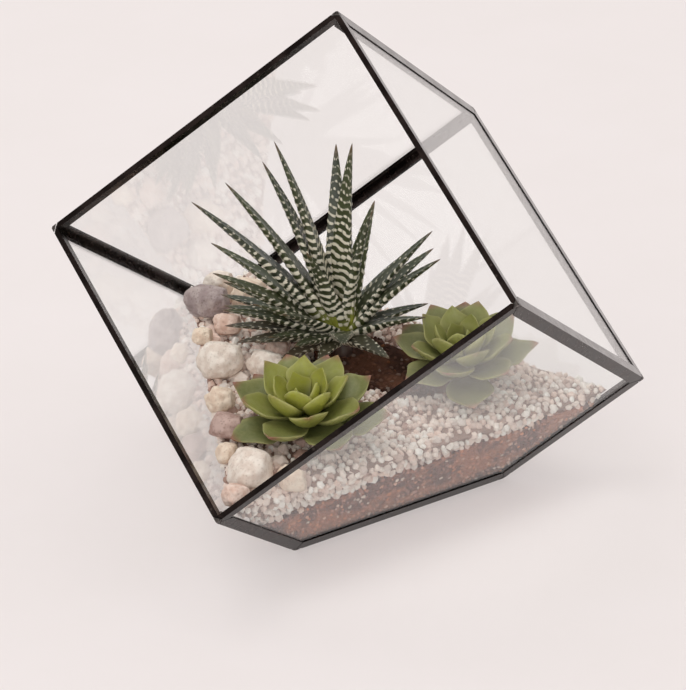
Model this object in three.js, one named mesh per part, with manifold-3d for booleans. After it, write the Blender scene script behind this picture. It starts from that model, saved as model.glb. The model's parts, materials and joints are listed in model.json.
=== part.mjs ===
// A tilted cube of glass panes in black metal came, standing on its cut-off lowest corner, open at the
// front and planted with one haworthia and two echeverias in soil, gravel and stones.
// Millimetres, +Z up. The origin is the centre of the triangular base, on the surface it stands on.
// X runs to the right, Y to the back. The cube's long diagonal is upright.

import * as THREE from "three";
import { ConvexGeometry } from "three/addons/geometries/ConvexGeometry.js";
import { mergeVertices } from "three/addons/utils/BufferGeometryUtils.js";
import Module from "manifold-3d";

const wasm = await Module();
wasm.setup();

// ---- driving dimensions ------------------------------------------------------------------------

const EDGE = 150; // edge of the cube, over the metal
const BASE_CUT = 0.5; // share of each lower edge that the base cuts away
const GLASS = 1.5; // sheet glass
const SHEET = 0.3; // sheet metal of the came
const SLOT_PLAY = 0.1; // glass to metal, each side
const RIM_LIP = 4.2; // how far a rim came reaches over its pane
const CORNER_LIP = 5.4; // how far a corner came reaches over each of its panes
const SLOT_WEB = 0.4; // metal between a corner came's inner corner and its slots
const SOLDER = 2.8; // how far a solder joint reaches along its cames
const GAP = 0.3; // clearance between pieces that touch
const STONE_GAP = 0.45; // growth of a stone's pocket
const THINNEST = 0.55; // least thickness and half width of a leaf

const CAME = GLASS + 2 * (SHEET + SLOT_PLAY); // thickness of a came
const FILL_MARGIN = CAME + GAP; // the fill stays this far inside the faces

const BED = { height: 50.5, fall: -0.125, rise: 0.055, wave: 0.9 }; // gravel surface, falls to the right
const LOAM = { height: 27, rise: 0.1, wave: 1.6 }; // top of the soil layer
const POCKET = { x: -2, y: 20, rx: 33, ry: 21, sink: 2.5 }; // planting pocket where the soil surfaces
const CELL = 12; // grid of the two surfaces
const GRAIN = { count: 58, low: 2.8, high: 4.4 }; // gravel grains that stand out of the surface
const AT_GLASS = {
  gravel: { relief: 1.7, pitch: 11.5, low: 3.2, high: 4.4, seed: 31 }, // grains that lie against the panes
  soil: { relief: 1, pitch: 13, low: 2.4, high: 3.4, seed: 47 }, // crumbs that lie against the panes
};
const WALLS = ["lower_right", "lower_left", "back"]; // faces that the fill leans on

const V3 = (x, y, z) => new THREE.Vector3(x, y, z);
const rad = THREE.MathUtils.degToRad;

// ---- materials ---------------------------------------------------------------------------------

const standard = (color, roughness, extra = {}) =>
  new THREE.MeshStandardMaterial({ color, roughness, ...extra });
const MATERIAL = {
  came: standard(0x231d1c, 0.42, { metalness: 0.7 }),
  glass: standard(0xe9f0ec, 0.03, { transparent: true, opacity: 0.2 }),
  soil: standard(0x4a3027, 0.95),
  gravel: standard(0xd8c9bf, 0.85),
  haworthia: standard(0x2f4a33, 0.5),
  echeveria: standard(0x8fa54a, 0.5),
  greyStone: standard(0x9c9092, 0.8),
  pinkStone: standard(0xcdb1a8, 0.8),
  whiteStone: standard(0xe2ddd3, 0.75),
  creamStone: standard(0xd9cbb4, 0.75),
  brownStone: standard(0x9a7f7a, 0.8),
};

const terrarium = new THREE.Group();

function place(name, geometry, material) {
  const mesh = new THREE.Mesh(geometry, material);
  mesh.name = name;
  terrarium.add(mesh);
}

// ---- solids ------------------------------------------------------------------------------------

function toSolid(geometry) {
  const bare = geometry.clone();
  bare.deleteAttribute("normal");
  bare.deleteAttribute("uv");
  const merged = mergeVertices(bare, 1e-4);
  const vertProperties = new Float32Array(merged.attributes.position.array);
  const triVerts = new Uint32Array(merged.index.array);
  return new wasm.Manifold(new wasm.Mesh({ numProp: 3, vertProperties, triVerts }));
}

function toGeometry(solid) {
  const { vertProperties, triVerts } = solid.getMesh();
  const geometry = new THREE.BufferGeometry();
  geometry.setAttribute("position", new THREE.BufferAttribute(vertProperties, 3));
  geometry.setIndex(new THREE.BufferAttribute(triVerts, 1));
  const flat = geometry.toNonIndexed();
  flat.computeVertexNormals();
  return flat;
}

const union = (solids) => solids.reduce((whole, next) => whole.add(next));

// Keeps the largest body and drops loose scraps.
function largestBody(solid) {
  return solid.decompose().reduce((best, body) => (body.volume() > best.volume() ? body : best));
}

// Keeps what lies in front of the plane through a point, moved along its normal by an offset.
const keepInFront = (solid, normal, point, offset) =>
  solid.trimByPlane(normal.toArray(), normal.dot(point) + offset);

// An outline drawn in the plane of across and up, extruded along across x up.
function prism(outline, origin, across, up, depth) {
  const geometry = new THREE.ExtrudeGeometry(new THREE.Shape(outline), { depth, bevelEnabled: false });
  const along = new THREE.Vector3().crossVectors(across, up);
  const frame = new THREE.Matrix4().makeBasis(across, up, along).setPosition(origin);
  return geometry.applyMatrix4(frame);
}

// A repeatable random number from 0 to 1.
function randomFrom(seed) {
  let state = seed;
  return () => {
    state = (state * 1664525 + 1013904223) % 4294967296;
    return state / 4294967296;
  };
}

// ---- the cube's corners and faces --------------------------------------------------------------

const STEP = EDGE / Math.sqrt(3); // height of one edge of the upright cube
const REACH = EDGE * Math.sqrt(2 / 3); // distance of the six middle corners from the axis
const LOWEST = -BASE_CUT * STEP; // height of the corner that the base cuts away

function aroundAxis(degrees, level) {
  return V3(REACH * Math.cos(rad(degrees)), REACH * Math.sin(rad(degrees)), LOWEST + level * STEP);
}

const nadir = V3(0, 0, LOWEST);
const corners = {
  top: V3(0, 0, LOWEST + 3 * STEP),
  lip: aroundAxis(-90, 1),
  low_right: aroundAxis(30, 1),
  low_left: aroundAxis(150, 1),
  right: aroundAxis(-30, 2),
  rear: aroundAxis(90, 2),
  left: aroundAxis(-150, 2),
};
corners.foot_front = nadir.clone().lerp(corners.lip, BASE_CUT);
corners.foot_right = nadir.clone().lerp(corners.low_right, BASE_CUT);
corners.foot_left = nadir.clone().lerp(corners.low_left, BASE_CUT);

const faces = {
  opening: { loop: ["left", "top", "right", "lip"], open: true },
  upper_right: { loop: ["top", "right", "low_right", "rear"] },
  upper_left: { loop: ["left", "top", "rear", "low_left"] },
  lower_right: { loop: ["right", "lip", "foot_front", "foot_right", "low_right"] },
  lower_left: { loop: ["left", "lip", "foot_front", "foot_left", "low_left"] },
  back: { loop: ["rear", "low_right", "foot_right", "foot_left", "low_left"] },
  base: { loop: ["foot_front", "foot_right", "foot_left"] },
};

const middle = nadir.clone().lerp(corners.top, 0.5);
for (const face of Object.values(faces)) {
  const [a, b, c] = face.loop.map((name) => corners[name]);
  face.point = a;
  face.inward = b.clone().sub(a).cross(c.clone().sub(b)).normalize();
  if (face.inward.dot(middle.clone().sub(a)) < 0) face.inward.negate();
}

// ---- cames -------------------------------------------------------------------------------------

// Every edge with its two faces. The open face is named second.
const edges = [];
for (const [faceName, face] of Object.entries(faces)) {
  face.loop.forEach((from, i) => {
    const to = face.loop[(i + 1) % face.loop.length];
    const known = edges.find((edge) => edge.ends.includes(from) && edge.ends.includes(to));
    if (known) known.faces.push(faceName);
    else edges.push({ ends: [from, to], faces: [faceName] });
  });
}
for (const edge of edges) {
  edge.faces.sort((a, b) => Boolean(faces[a].open) - Boolean(faces[b].open));
  edge.rim = Boolean(faces[edge.faces[1]].open);
}

const direction = (from, to) => corners[to].clone().sub(corners[from]).normalize();

// The direction in a face that leads away from one of its edges.
function intoFace(edge, face) {
  const along = direction(...edge.ends);
  const across = new THREE.Vector3().crossVectors(face.inward, along);
  const other = face.loop.find((name) => !edge.ends.includes(name));
  const towards = corners[other].clone().sub(corners[edge.ends[0]]);
  return across.dot(towards) < 0 ? across.negate() : across;
}

// How far from the edge a slot's floor lies, in a corner came whose panes meet at an angle.
function innerCorner(edge) {
  const [a, b] = edge.faces.map((name) => intoFace(edge, faces[name]));
  return CAME / Math.tan(a.angleTo(b) / 2);
}
const slotFloor = (edge) => (edge.rim ? SHEET : innerCorner(edge) + SLOT_WEB);

// A came's outline, in the plane of the first face's inward run and its normal.
function cameOutline(edge) {
  const first = faces[edge.faces[0]];
  const second = faces[edge.faces[1]];
  const across = intoFace(edge, first);
  const flange = (run, normal, lip, floor) => {
    const at = (r, n) => {
      const p = run.clone().multiplyScalar(r).addScaledVector(normal, n);
      return new THREE.Vector2(p.dot(across), p.dot(first.inward));
    };
    return [
      at(lip, 0),
      at(lip, SHEET),
      at(floor, SHEET),
      at(floor, CAME - SHEET),
      at(lip, CAME - SHEET),
      at(lip, CAME),
    ];
  };
  const floor = slotFloor(edge);
  if (edge.rim) {
    const open = flange(across, first.inward, RIM_LIP, floor);
    return [new THREE.Vector2(0, 0), ...open, new THREE.Vector2(0, CAME)];
  }
  return [
    new THREE.Vector2(0, 0),
    ...flange(across, first.inward, CORNER_LIP, floor),
    new THREE.Vector2(innerCorner(edge), CAME),
    ...flange(intoFace(edge, second), second.inward, CORNER_LIP, floor).reverse(),
  ];
}

const otherEnd = (edge, corner) => edge.ends.find((name) => name !== corner);
const neighbours = (corner) =>
  edges.filter((edge) => edge.ends.includes(corner)).map((edge) => otherEnd(edge, corner));

// The line from a corner into the cube, at one angle to its three faces, and how deep solder fills it.
function cornerAxis(corner) {
  const sum = V3(0, 0, 0);
  for (const face of Object.values(faces)) if (face.loop.includes(corner)) sum.add(face.inward);
  return sum.normalize();
}
const solderDepth = (corner) =>
  SOLDER * Math.max(...neighbours(corner).map((other) => direction(corner, other).dot(cornerAxis(corner))));

function cameSolid(edge) {
  const first = faces[edge.faces[0]];
  const across = intoFace(edge, first);
  const along = new THREE.Vector3().crossVectors(across, first.inward);
  const [from, to] = edge.ends;
  const start = along.dot(direction(from, to)) > 0 ? from : to;
  const length = corners[from].distanceTo(corners[to]);
  let solid = toSolid(prism(cameOutline(edge), corners[start], across, first.inward, length));
  for (const end of edge.ends) {
    const other = otherEnd(edge, end);
    const own = direction(end, other);
    for (const next of neighbours(end).filter((name) => name !== other)) {
      const mitre = own.clone().sub(direction(end, next)).normalize();
      solid = keepInFront(solid, mitre, corners[end], GAP / 2);
    }
    solid = keepInFront(solid, cornerAxis(end), corners[end], solderDepth(end) + GAP);
  }
  return solid;
}

for (const edge of edges) {
  const kind = edge.rim ? "rim_came" : "corner_came";
  place(`${kind}_${edge.ends.join("_to_")}`, toGeometry(cameSolid(edge)), MATERIAL.came);
}

// ---- solder joints: the filled tip of each corner, slightly blunted -----------------------------

const BLUNT = 0.25;
for (const [name, corner] of Object.entries(corners)) {
  const axis = cornerAxis(name);
  const points = [];
  for (const other of neighbours(name)) {
    const run = direction(name, other);
    const reach = solderDepth(name) / run.dot(axis);
    points.push(corner.clone().addScaledVector(run, reach));
    points.push(corner.clone().addScaledVector(run, reach * BLUNT));
  }
  place(`solder_${name}`, new ConvexGeometry(points), MATERIAL.came);
}

// ---- panes -------------------------------------------------------------------------------------

// Moves each side of a convex outline inwards by its own amount.
function inset(outline, amounts) {
  const centre = outline.reduce((sum, p) => sum.add(p), new THREE.Vector2()).divideScalar(outline.length);
  const sides = outline.map((p, i) => {
    const run = outline[(i + 1) % outline.length].clone().sub(p).normalize();
    const normal = new THREE.Vector2(-run.y, run.x);
    if (normal.dot(centre.clone().sub(p)) < 0) normal.negate();
    return { normal, offset: normal.dot(p) + amounts[i] };
  });
  return sides.map((side, i) => {
    const before = sides[(i + sides.length - 1) % sides.length];
    const cross = before.normal.cross(side.normal);
    return new THREE.Vector2(
      (before.offset * side.normal.y - side.offset * before.normal.y) / cross,
      (side.offset * before.normal.x - before.offset * side.normal.x) / cross,
    );
  });
}

function paneGeometry(face) {
  const origin = corners[face.loop[0]];
  const across = direction(face.loop[0], face.loop[1]);
  const up = new THREE.Vector3().crossVectors(face.inward, across);
  const outline = face.loop.map((name) => {
    const p = corners[name].clone().sub(origin);
    return new THREE.Vector2(p.dot(across), p.dot(up));
  });
  const amounts = face.loop.map((name, i) => {
    const next = face.loop[(i + 1) % face.loop.length];
    return slotFloor(edges.find((edge) => edge.ends.includes(name) && edge.ends.includes(next))) + SLOT_PLAY;
  });
  const seat = origin.clone().addScaledVector(face.inward, SHEET + SLOT_PLAY);
  return prism(inset(outline, amounts), seat, across, up, GLASS);
}

for (const [name, face] of Object.entries(faces)) {
  if (!face.open) place(`pane_${name}`, paneGeometry(face), MATERIAL.glass);
}

// ---- soil and gravel ---------------------------------------------------------------------------

const bedHeight = (x, y) =>
  BED.height + BED.fall * x + BED.rise * y + BED.wave * Math.sin(x / 11) * Math.cos(y / 9 + 1);
const loamHeight = (x, y) => LOAM.height + LOAM.rise * x + LOAM.wave * Math.sin(x / 8 + 1) * Math.cos(y / 10);

// A body between two surfaces over a square of ground, with both surfaces split alike.
function slab(lower, upper, cell) {
  const half = Math.ceil(REACH / cell) * cell;
  const n = Math.round((2 * half) / cell);
  const positions = [];
  const index = [];
  for (const surface of [lower, upper]) {
    for (let j = 0; j <= n; j++) {
      for (let i = 0; i <= n; i++) {
        const x = -half + i * cell;
        const y = -half + j * cell;
        positions.push(x, y, surface(x, y));
      }
    }
  }
  const layer = (n + 1) * (n + 1);
  const quad = (a, b, c, d) => index.push(a, b, c, a, c, d);
  for (let j = 0; j < n; j++) {
    for (let i = 0; i < n; i++) {
      const a = j * (n + 1) + i;
      const [b, c, d] = [a + 1, a + n + 2, a + n + 1];
      quad(layer + a, layer + b, layer + c, layer + d);
      index.push(a, c, b, a, d, c);
    }
  }
  const rim = [];
  for (let i = 0; i < n; i++) rim.push(i);
  for (let j = 0; j < n; j++) rim.push(j * (n + 1) + n);
  for (let i = n; i > 0; i--) rim.push(n * (n + 1) + i);
  for (let j = n; j > 0; j--) rim.push(j * (n + 1));
  rim.forEach((a, k) => {
    const b = rim[(k + 1) % rim.length];
    quad(a, b, layer + b, layer + a);
  });
  const geometry = new THREE.BufferGeometry();
  geometry.setAttribute("position", new THREE.Float32BufferAttribute(positions, 3));
  geometry.setIndex(index);
  return toSolid(geometry);
}

// Keeps what lies inside the panes, less a depth of relief at the walls.
function insideGlass(solid, relief) {
  let rest = solid;
  for (const [name, face] of Object.entries(faces)) {
    const depth = WALLS.includes(name) ? relief : 0;
    rest = keepInFront(rest, face.inward, face.point, FILL_MARGIN + depth);
  }
  return rest;
}

// How far a point lies inside a face.
const depthIn = (face, point) => face.inward.dot(point.clone().sub(face.point));

// An upright elliptic plug round the planting pocket, grown by a clearance.
function pocketPlug(clearance) {
  const plug = new THREE.CylinderGeometry(1, 1, 2 * REACH, 24).rotateX(Math.PI / 2);
  plug.scale(POCKET.rx + clearance, POCKET.ry + clearance, 1).translate(POCKET.x, POCKET.y, 0);
  return toSolid(plug);
}

function pebble(random, x, y, z, size) {
  const stone = new THREE.OctahedronGeometry(size, 0);
  stone.rotateX(random() * Math.PI).rotateZ(random() * Math.PI);
  stone.scale(1, 0.85 + 0.3 * random(), 0.8).translate(x, y, z);
  return toSolid(stone);
}

function gravelGrains() {
  const random = randomFrom(17);
  const clearOfPocket = 1.05;
  const grains = [];
  while (grains.length < GRAIN.count) {
    const x = (2 * random() - 1) * REACH;
    const y = (2 * random() - 1) * REACH;
    const size = GRAIN.low + (GRAIN.high - GRAIN.low) * random();
    const z = bedHeight(x, y);
    const inGlass = Object.values(faces).every((face) => depthIn(face, V3(x, y, z)) > FILL_MARGIN);
    const fromPocket = Math.hypot((x - POCKET.x) / POCKET.rx, (y - POCKET.y) / POCKET.ry);
    if (inGlass && fromPocket > clearOfPocket) grains.push(pebble(random, x, y, z, size));
  }
  return grains;
}

// Grains spread over the walls between two surfaces, each at least a pitch from the others.
function grainsAtGlass(lower, upper, { relief, pitch, low, high, seed }) {
  const random = randomFrom(seed);
  const tries = 6000;
  const spots = [];
  const grains = [];
  for (let k = 0; k < tries; k++) {
    const wall = faces[WALLS[Math.floor(random() * WALLS.length)]];
    const spot = V3((2 * random() - 1) * REACH, (2 * random() - 1) * REACH, random() * STEP);
    spot.addScaledVector(wall.inward, FILL_MARGIN + relief - depthIn(wall, spot));
    const inGlass = Object.values(faces).every((face) => face === wall || depthIn(face, spot) > CORNER_LIP);
    const inLayer = spot.z > lower(spot.x, spot.y) + low / 2 && spot.z < upper(spot.x, spot.y) - low / 2;
    if (!inGlass || !inLayer || spots.some((other) => other.distanceTo(spot) < pitch)) continue;
    spots.push(spot);
    grains.push(pebble(random, spot.x, spot.y, spot.z, low + (high - low) * random()));
  }
  return grains;
}

const floorLevel = () => -1;
const soilTop = slab(floorLevel, (x, y) => bedHeight(x, y) - POCKET.sink, CELL);
const aboveLoam = (x, y) => loamHeight(x, y) + GAP;
const loam = slab(floorLevel, loamHeight, CELL);
const soilBody = loam.add(pocketPlug(-GAP).intersect(soilTop));
const crumbs = union(grainsAtGlass(floorLevel, loamHeight, AT_GLASS.soil)).intersect(loam);
let soil = insideGlass(insideGlass(soilBody, AT_GLASS.soil.relief).add(crumbs), 0);

const bed = slab(aboveLoam, bedHeight, CELL);
const wallGrains = union(grainsAtGlass(aboveLoam, bedHeight, AT_GLASS.gravel)).intersect(bed);
let gravel = insideGlass(bed, AT_GLASS.gravel.relief).add(wallGrains).add(union(gravelGrains()));
gravel = insideGlass(gravel, 0).subtract(pocketPlug(0));

// ---- leaves ------------------------------------------------------------------------------------

// A closed blade. The spine is a quadratic curve. A ring is a list of [side, rise] pairs in units of
// half the width and of the depth, and each station scales it.
function blade(spine, upward, stations, ring, size) {
  const positions = [];
  const index = [];
  const n = ring.length;
  stations.forEach((t) => {
    const centre = spine.getPoint(t);
    const tangent = spine.getTangent(t);
    const side = new THREE.Vector3().crossVectors(tangent, upward).normalize();
    const rise = new THREE.Vector3().crossVectors(side, tangent).normalize();
    const { half, depth, ridge } = size(t);
    for (const [across, up] of ring) {
      const lift = up < 0 ? up * depth - ridge : up * depth;
      const point = centre.clone().addScaledVector(side, across * half).addScaledVector(rise, lift);
      positions.push(...point.toArray());
    }
  });
  for (let s = 0; s + 1 < stations.length; s++) {
    for (let k = 0; k < n; k++) {
      const a = s * n + k;
      const b = s * n + ((k + 1) % n);
      index.push(a, b + n, b, a, a + n, b + n);
    }
  }
  const last = (stations.length - 1) * n;
  positions.push(...spine.getPoint(0).toArray(), ...spine.getPoint(1).toArray());
  const [root, tip] = [stations.length * n, stations.length * n + 1];
  for (let k = 0; k < n; k++) {
    const next = (k + 1) % n;
    index.push(root, k, next, tip, last + next, last + k);
  }
  const geometry = new THREE.BufferGeometry();
  geometry.setAttribute("position", new THREE.Float32BufferAttribute(positions, 3));
  geometry.setIndex(index);
  return toSolid(geometry);
}

// The curve of a leaf that leaves its root at an azimuth and a rise, and bows by a share of its length.
// The plant's lean turns the whole leaf.
function leafSpine(root, azimuth, rise, length, bow, lean) {
  const level = V3(Math.cos(rad(azimuth)), Math.sin(rad(azimuth)), 0);
  const chord = level.clone().multiplyScalar(Math.cos(rad(rise))).setZ(Math.sin(rad(rise)));
  const upward = level.clone().multiplyScalar(-Math.sin(rad(rise))).setZ(Math.cos(rad(rise)));
  chord.applyQuaternion(lean);
  upward.applyQuaternion(lean);
  const tip = root.clone().addScaledVector(chord, length);
  const bend = root.clone().addScaledVector(chord, length * 0.5).addScaledVector(upward, length * bow);
  return { spine: new THREE.QuadraticBezierCurve3(root, bend, tip), upward };
}

// A turn that leans a plant by some degrees towards an azimuth.
function leanTo(azimuth, degrees) {
  const axis = V3(-Math.sin(rad(azimuth)), Math.cos(rad(azimuth)), 0);
  return new THREE.Quaternion().setFromAxisAngle(axis, rad(degrees));
}

// ---- haworthia: thick tapering leaves with raised cross bands on their backs --------------------

const HAWORTHIA = {
  root: V3(-17, 20, 60), // where the leaves leave the stem
  stem: { radius: 4, depth: 16 },
  core: 8, // radius of the heart
  width: 13, // widest leaf
  depth: 6, // thickest leaf
  longest: 88, // leaf length that has the full width
  banded: 0.72, // share of a leaf that carries raised bands
  bandPitch: 7,
  bandRise: 0.5,
  bow: 0.06,
  lean: leanTo(0, 0),
};

// Leaves by azimuth (degrees from +X), rise (degrees) and length (mm), from the upright heart outwards.
const HAWORTHIA_LEAVES = [
  [80, 80, 84],
  [112, 76, 82],
  [113, 70, 72],
  [-158, 75, 92],
  [-165, 69, 84],
  [-158, 57, 84],
  [-152, 47, 88],
  [-167, 35, 68],
  [20, 74, 60],
  [-161, 25, 55],
  [-100, 66, 50],
  [46, 36, 54],
  [36, 46, 60],
  [22, 38, 56],
  [90, 52, 60],
  [140, 44, 48],
  [-55, 44, 34],
  [75, 28, 46],
  [110, 24, 44],
  [165, 20, 46],
  [-150, 8, 50],
  [-118, 14, 38],
  [-80, 2, 32],
  [-30, 3, 38],
  [4, 18, 42],
  [40, 12, 40],
];

const HAWORTHIA_RING = [
  [1, 0.1],
  [0, 0.25],
  [-1, 0.1],
  [-0.6, -0.85],
  [0.6, -0.85],
];

function haworthiaLeaf([azimuth, rise, length]) {
  const { root, width, depth, longest, banded, bandPitch, bandRise, bow, lean } = HAWORTHIA;
  const { spine, upward } = leafSpine(root, azimuth, rise, length, bow, lean);
  const scale = THREE.MathUtils.lerp(0.62, 1, length / longest);
  const bands = Math.round((length * banded) / bandPitch);
  const stations = [0];
  for (let k = 1; k <= 2 * bands; k++) stations.push((k * banded) / (2 * bands));
  stations.push(0.86, 0.96);
  return blade(spine, upward, stations, HAWORTHIA_RING, (t) => {
    const taper = Math.sin(Math.PI * Math.min(0.5, 0.32 + t)) * Math.pow(1 - t, 0.72);
    const onBand = Math.round((t * 2 * bands) / banded) % 2 === 1 && t < banded;
    return {
      half: Math.max(THINNEST, (width * scale * taper) / 2),
      depth: Math.max(THINNEST, depth * scale * Math.pow(1 - t, 0.7)),
      ridge: onBand ? bandRise : 0,
    };
  });
}

// An upright stem below a root, grown by a clearance where it is the hole for it.
function stemSolid(root, stem, clearance) {
  const depth = stem.depth + 2 * clearance;
  const radius = stem.radius + clearance;
  const shaft = new THREE.CylinderGeometry(radius, radius, depth, 10).rotateX(Math.PI / 2);
  return toSolid(shaft.translate(root.x, root.y, root.z + clearance - depth / 2));
}

function heartSolid(root, core) {
  return toSolid(new THREE.IcosahedronGeometry(core, 1).scale(1, 1, 0.6).translate(root.x, root.y, root.z));
}

// ---- echeverias: spoon leaves with a pointed tip, wound on by the golden angle ------------------

const GOLDEN_ANGLE = 137.5;
const ECHEVERIAS = {
  echeveria_front: { root: V3(-6, -39, 62), turn: 200, radius: 36, lean: leanTo(-70, 18) },
  echeveria_right: { root: V3(35, 29, 57), turn: 20, radius: 31, lean: leanTo(-70, 12) },
};
const ROSETTE = {
  leaves: 19,
  core: 6, // radius of the heart
  lift: 4, // how much higher the heart's leaves leave the stem
  highest: 76, // rise of the innermost leaf
  lowest: 8, // rise of the outermost leaf
  shortest: 0.34, // length of the innermost leaf, in the rosette's radius
  bow: -0.1,
  depth: 3,
};
const ECHEVERIA_STEM = { radius: 3, depth: 30 };

const ECHEVERIA_RING = [
  [1, 0.35],
  [0, 0.05],
  [-1, 0.35],
  [-0.55, -0.6],
  [0, -0.85],
  [0.55, -0.6],
];
// The outline of a spoon leaf: how far along, and the share of its full width there.
const SPOON = [
  [0, 0.36],
  [0.3, 0.62],
  [0.6, 0.98],
  [0.84, 0.8],
  [0.98, 0.12],
];

function spoonWidth(t) {
  const i = Math.max(1, SPOON.findIndex(([at]) => at >= t));
  const [[t0, w0], [t1, w1]] = [SPOON[i - 1], SPOON[i]];
  return THREE.MathUtils.mapLinear(t, t0, t1, w0, w1);
}

// Leaf k of a rosette: the heart's leaves are short and upright, the outer ones long and nearly flat.
function echeveriaLeaf(plant, k) {
  const { leaves, lift, highest, lowest, shortest, bow, depth } = ROSETTE;
  const age = k / (leaves - 1);
  const azimuth = plant.turn + k * GOLDEN_ANGLE;
  const rise = THREE.MathUtils.lerp(highest, lowest, Math.pow(age, 0.8));
  const length = plant.radius * THREE.MathUtils.lerp(shortest, 1, Math.pow(age, 0.7));
  const root = plant.root.clone().add(V3(0, 0, lift * (1 - age)).applyQuaternion(plant.lean));
  const { spine, upward } = leafSpine(root, azimuth, rise, length, bow, plant.lean);
  const width = length * THREE.MathUtils.lerp(0.62, 0.54, age);
  const stations = SPOON.map(([at]) => at);
  return blade(spine, upward, stations, ECHEVERIA_RING, (t) => ({
    half: (width * spoonWidth(t)) / 2,
    depth: Math.max(THINNEST, depth * Math.pow(1 - t, 0.5)),
    ridge: 0,
  }));
}

function haworthiaSolid() {
  const { root, core, stem } = HAWORTHIA;
  const leaves = HAWORTHIA_LEAVES.map(haworthiaLeaf);
  return largestBody(union([heartSolid(root, core), stemSolid(root, stem, 0), ...leaves]));
}

function echeveriaSolid(plant) {
  const leaves = Array.from({ length: ROSETTE.leaves }, (_, k) => echeveriaLeaf(plant, k));
  const trunk = heartSolid(plant.root, ROSETTE.core).add(stemSolid(plant.root, ECHEVERIA_STEM, 0));
  return largestBody(union([trunk, ...leaves]));
}

// ---- stones: rounded cobbles bedded in the gravel -----------------------------------------------

const STONES = {
  grey: { x: -86, y: 16, r: 10, material: "greyStone" },
  beige: { x: -73, y: 33, r: 8.8, material: "creamStone" },
  far_left: { x: -86, y: 38, r: 7, material: "whiteStone" },
  pink: { x: -69, y: 11, r: 6.6, material: "pinkStone" },
  sand: { x: -72, y: -4, r: 5, material: "creamStone" },
  white_left: { x: -55, y: -22, r: 10, material: "whiteStone" },
  white_middle: { x: -36, y: -13, r: 8.4, material: "whiteStone" },
  rose: { x: -38, y: 2, r: 5.6, material: "pinkStone" },
  cream: { x: -45, y: -48, r: 7, material: "creamStone" },
  brown: { x: -31, y: -65, r: 7.4, material: "brownStone" },
  cream_low: { x: -22, y: -82, r: 5.2, material: "creamStone" },
  lip_white: { x: -2, y: -94, r: 10.2, material: "whiteStone" },
  lip_left: { x: 14, y: -84, r: 6, material: "creamStone" },
  lip_front: { x: -3, y: -109, r: 6, material: "pinkStone" },
};
const SUNK = 0.4; // how far a stone's middle stands over the bed, in its own radius
const STONE_REACH = 1.1; // longest half of a stone, in its own radius
const NESTLE = 0.94; // how close two stones lie, as a share of their longest halves
const SETTLE_PASSES = 80;
const STONE_POINTS = 26;

const centre = (stone) => V3(stone.x, stone.y, bedHeight(stone.x, stone.y) + SUNK * stone.r);

// Nudges the stones apart in plan, and off the panes, until each has its own room.
function settle(all) {
  const nudge = (stone, normal, short) => {
    const level = V3(normal.x, normal.y, 0);
    level.setLength(short / level.length());
    stone.x += level.x;
    stone.y += level.y;
  };
  for (let pass = 0; pass < SETTLE_PASSES; pass++) {
    for (const stone of all) {
      for (const other of all.filter((b) => b !== stone)) {
        const away = centre(stone).sub(centre(other));
        const short = (stone.r + other.r) * STONE_REACH * NESTLE + GAP - away.length();
        if (short > 0) nudge(stone, away.normalize(), short / 2);
      }
      for (const face of Object.values(faces)) {
        const short = stone.r * STONE_REACH + FILL_MARGIN - face.inward.dot(centre(stone).sub(face.point));
        if (short > 0) nudge(stone, face.inward, short);
      }
    }
  }
}
settle(Object.values(STONES));

// A rounded, slightly flat stone: a hull round points spread evenly over a ball.
function stoneSolid(stone, seed, clearance) {
  const random = randomFrom(seed);
  const squash = V3(STONE_REACH, 0.9 + 0.1 * random(), 0.8 + 0.1 * random());
  const turn = new THREE.Euler(0.3 * random(), 0.3 * random(), 2 * Math.PI * random());
  const points = [];
  for (let k = 0; k < STONE_POINTS; k++) {
    const up = 1 - (2 * (k + 0.5)) / STONE_POINTS;
    const around = rad(k * GOLDEN_ANGLE);
    const level = Math.sqrt(1 - up * up);
    const reach = (stone.r + clearance) * (0.9 + 0.1 * random());
    const point = V3(level * Math.cos(around), level * Math.sin(around), up).multiply(squash);
    points.push(point.multiplyScalar(reach).applyEuler(turn).add(centre(stone)));
  }
  return toSolid(new ConvexGeometry(points));
}

const stones = Object.entries(STONES).map(([name, stone], i) => {
  const seed = 100 + 7 * i;
  return { name, stone, solid: stoneSolid(stone, seed, 0), pocket: stoneSolid(stone, seed, STONE_GAP) };
});

// ---- putting the contents together --------------------------------------------------------------

// Plain holes that the stems stand in, and the pockets that the stones lie in.
const holes = Object.values(ECHEVERIAS).map((plant) => stemSolid(plant.root, ECHEVERIA_STEM, GAP));
holes.push(stemSolid(HAWORTHIA.root, HAWORTHIA.stem, GAP));
const cuts = union([...holes, ...stones.map(({ pocket }) => pocket)]);
soil = largestBody(soil.subtract(cuts));
gravel = largestBody(gravel.subtract(cuts));

place("soil", toGeometry(soil), MATERIAL.soil);
place("gravel", toGeometry(gravel), MATERIAL.gravel);
for (const { name, stone, solid } of stones) {
  place(`stone_${name}`, toGeometry(solid), MATERIAL[stone.material]);
}
place("haworthia", toGeometry(haworthiaSolid()), MATERIAL.haworthia);
for (const [name, plant] of Object.entries(ECHEVERIAS)) {
  place(name, toGeometry(echeveriaSolid(plant)), MATERIAL.echeveria);
}

export default terrarium;
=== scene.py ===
# %% [markdown]
# # A planted glass cube, dressed for its portrait
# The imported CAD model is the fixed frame: each pane, came, stone and plant has its place in metres already.
# The metal and the glass keep their solids and only get finishes. Soil, gravel, stones and plants are made
# again as finer pieces, in the same places or a few millimetres from them.

# %% The fixed frame
import json
import math
import random

import bmesh
import bpy
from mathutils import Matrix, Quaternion, Vector


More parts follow.
